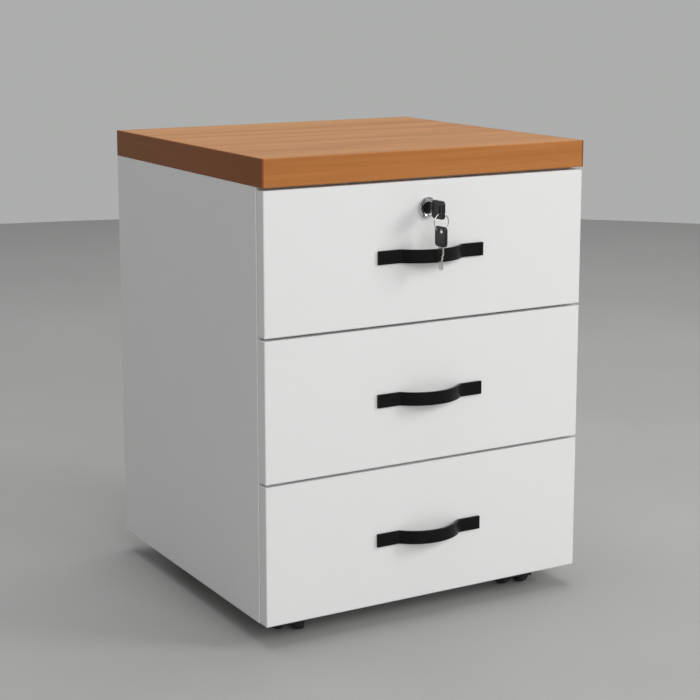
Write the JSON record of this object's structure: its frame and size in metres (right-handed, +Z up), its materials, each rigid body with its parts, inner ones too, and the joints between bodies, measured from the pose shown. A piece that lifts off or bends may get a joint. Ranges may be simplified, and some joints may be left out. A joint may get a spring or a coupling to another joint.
{
  "type": "rolling pedestal cabinet",
  "caption": "Low office drawer cabinet on swivel castors, with a wood-look top, white drawer fronts, black bow handles and a central key lock.",
  "frame": {"origin": "on the floor under the middle of the object's box, the hanging key included", "axes": "+Z up, +Y from the drawer fronts to the back, +X to the right seen from the front"},
  "size_m": [0.432, 0.4454, 0.556],
  "materials": {
    "wood_top": "wood-look laminate, satin, grain along X",
    "wood_edge": "wood-look edge band, satin",
    "white_board": "white melamine-faced board",
    "drawer_bottom": "white-faced hardboard",
    "black_metal": "black powder coat, semi-gloss",
    "zinc_steel": "zinc-plated sheet steel",
    "screw_steel": "zinc-plated screws and cams",
    "chrome": "polished chrome",
    "key_steel": "nickel-plated",
    "black_plastic": "black moulded plastic",
    "castor_wheel": "black nylon with a softer tread",
    "grey_plastic": "grey moulded plastic"
  },
  "bodies": {
    "carcass": {"top_panel": "wood_top", "top_edge_bands": "wood_edge", "side_panel_left": "white_board", "side_panel_right": "white_board", "bottom_panel": "white_board", "back_panel": "white_board", "top_rail_front": "white_board", "top_rail_rear": "white_board", "cam_fittings": "screw_steel", "wood_screws": "screw_steel", "castor_plates": "zinc_steel", "lock_bar_guides": "grey_plastic", "drawer_1_runner_outer": "zinc_steel", "drawer_2_runner_outer": "zinc_steel", "drawer_3_runner_outer": "zinc_steel"},
    "drawer_1": {"drawer_1_front": "white_board", "drawer_1_sides": "white_board", "drawer_1_back": "white_board", "drawer_1_bottom": "drawer_bottom", "drawer_1_handle": "black_metal", "drawer_1_fittings": "screw_steel", "drawer_1_runner_inner": "zinc_steel", "lock_housing": "chrome", "lock_rod_bracket": "zinc_steel"},
    "runner_1": {"drawer_1_runner_middle": "zinc_steel", "drawer_1_runner_balls": "zinc_steel"},
    "drawer_2": {"drawer_2_front": "white_board", "drawer_2_sides": "white_board", "drawer_2_back": "white_board", "drawer_2_bottom": "drawer_bottom", "drawer_2_handle": "black_metal", "drawer_2_fittings": "screw_steel", "drawer_2_runner_inner": "zinc_steel"},
    "runner_2": {"drawer_2_runner_middle": "zinc_steel", "drawer_2_runner_balls": "zinc_steel"},
    "drawer_3": {"drawer_3_front": "white_board", "drawer_3_sides": "white_board", "drawer_3_back": "white_board", "drawer_3_bottom": "drawer_bottom", "drawer_3_handle": "black_metal", "drawer_3_fittings": "screw_steel", "drawer_3_runner_inner": "zinc_steel"},
    "runner_3": {"drawer_3_runner_middle": "zinc_steel", "drawer_3_runner_balls": "zinc_steel"},
    "lock_barrel": {"lock_cylinder": "chrome", "lock_rod": "zinc_steel"},
    "lock_bar": {"lock_bar": "zinc_steel"},
    "key": {"key_blade": "key_steel", "key_bow": "black_plastic"},
    "key_ring": {"key_ring": "key_steel"},
    "spare_key": {"spare_key_blade": "key_steel", "spare_key_bow": "black_plastic"},
    "castor_front_left": {"castor_front_left_housing": "black_plastic"},
    "castor_front_left_wheels": {"castor_front_left_wheels": "castor_wheel"},
    "castor_front_right": {"castor_front_right_housing": "black_plastic"},
    "castor_front_right_wheels": {"castor_front_right_wheels": "castor_wheel"},
    "castor_rear_left": {"castor_rear_left_housing": "black_plastic"},
    "castor_rear_left_wheels": {"castor_rear_left_wheels": "castor_wheel"},
    "castor_rear_right": {"castor_rear_right_housing": "black_plastic"},
    "castor_rear_right_wheels": {"castor_rear_right_wheels": "castor_wheel"}
  },
  "joints": [
    {"name": "drawer_1_slide", "type": "slide", "parent": "carcass", "child": "drawer_1", "axis": [0, -1, 0], "range_m": [0, 0.34]},
    {"name": "runner_1_slide", "type": "slide", "parent": "carcass", "child": "runner_1", "axis": [0, -1, 0], "range_m": [0, 0.17]},
    {"name": "drawer_2_slide", "type": "slide", "parent": "carcass", "child": "drawer_2", "axis": [0, -1, 0], "range_m": [0, 0.34]},
    {"name": "runner_2_slide", "type": "slide", "parent": "carcass", "child": "runner_2", "axis": [0, -1, 0], "range_m": [0, 0.17]},
    {"name": "drawer_3_slide", "type": "slide", "parent": "carcass", "child": "drawer_3", "axis": [0, -1, 0], "range_m": [0, 0.34]},
    {"name": "runner_3_slide", "type": "slide", "parent": "carcass", "child": "runner_3", "axis": [0, -1, 0], "range_m": [0, 0.17]},
    {"name": "castor_front_left_swivel", "type": "hinge", "parent": "carcass", "child": "castor_front_left", "pos_m": [-0.154, -0.119, 0.04], "axis": [0, 0, 1], "continuous": true},
    {"name": "castor_front_left_roll", "type": "hinge", "parent": "castor_front_left", "child": "castor_front_left_wheels", "pos_m": [-0.1625, -0.13372, 0.02], "axis": [0.866, -0.5, 0], "continuous": true},
    {"name": "castor_front_right_swivel", "type": "hinge", "parent": "carcass", "child": "castor_front_right", "pos_m": [0.154, -0.119, 0.04], "axis": [0, 0, 1], "continuous": true},
    {"name": "castor_front_right_roll", "type": "hinge", "parent": "castor_front_right", "child": "castor_front_right_wheels", "pos_m": [0.15105, -0.13574, 0.02], "axis": [0.9848, -0.1736, 0], "continuous": true},
    {"name": "castor_rear_left_swivel", "type": "hinge", "parent": "carcass", "child": "castor_rear_left", "pos_m": [-0.154, 0.16, 0.04], "axis": [0, 0, 1], "continuous": true},
    {"name": "castor_rear_left_roll", "type": "hinge", "parent": "castor_rear_left", "child": "castor_rear_left_wheels", "pos_m": [-0.14708, 0.14447, 0.02], "axis": [0.9135, 0.4067, 0], "continuous": true},
    {"name": "castor_rear_right_swivel", "type": "hinge", "parent": "carcass", "child": "castor_rear_right", "pos_m": [0.154, 0.16, 0.04], "axis": [0, 0, 1], "continuous": true},
    {"name": "castor_rear_right_roll", "type": "hinge", "parent": "castor_rear_right", "child": "castor_rear_right_wheels", "pos_m": [0.14353, 0.1466, 0.02], "axis": [0.788, -0.6157, 0], "continuous": true},
    {"name": "key_turn", "type": "hinge", "parent": "drawer_1", "child": "lock_barrel", "pos_m": [-0.006, -0.18125, 0.49], "axis": [0, 1, 0], "range_deg": [0, 90]},
    {"name": "lock_bar_lift", "type": "slide", "parent": "carcass", "child": "lock_bar", "axis": [0, 0, 1], "range_m": [0, 0.01]},
    {"name": "key_pull", "type": "slide", "parent": "lock_barrel", "child": "key", "axis": [0, -1, 0], "range_m": [0, 0.03]},
    {"name": "key_ring_turn", "type": "hinge", "parent": "key", "child": "key_ring", "pos_m": [-0.006, -0.21225, 0.482], "axis": [0, 1, 0], "range_deg": [-90, 0]},
    {"name": "spare_key_swing", "type": "hinge", "parent": "key_ring", "child": "spare_key", "pos_m": [-0.006, -0.21225, 0.46685], "axis": [1, 0, 0], "range_deg": [-20, 4]}
  ],
  "couplings": [
    {"joint": "runner_1_slide", "follows": "drawer_1_slide", "ratio": 0.5},
    {"joint": "runner_2_slide", "follows": "drawer_2_slide", "ratio": 0.5},
    {"joint": "runner_3_slide", "follows": "drawer_3_slide", "ratio": 0.5},
    {"joint": "key_turn", "follows": "lock_bar_lift", "rad_per_m": 157.08},
    {"joint": "key_ring_turn", "follows": "lock_bar_lift", "rad_per_m": -157.08}
  ]
}
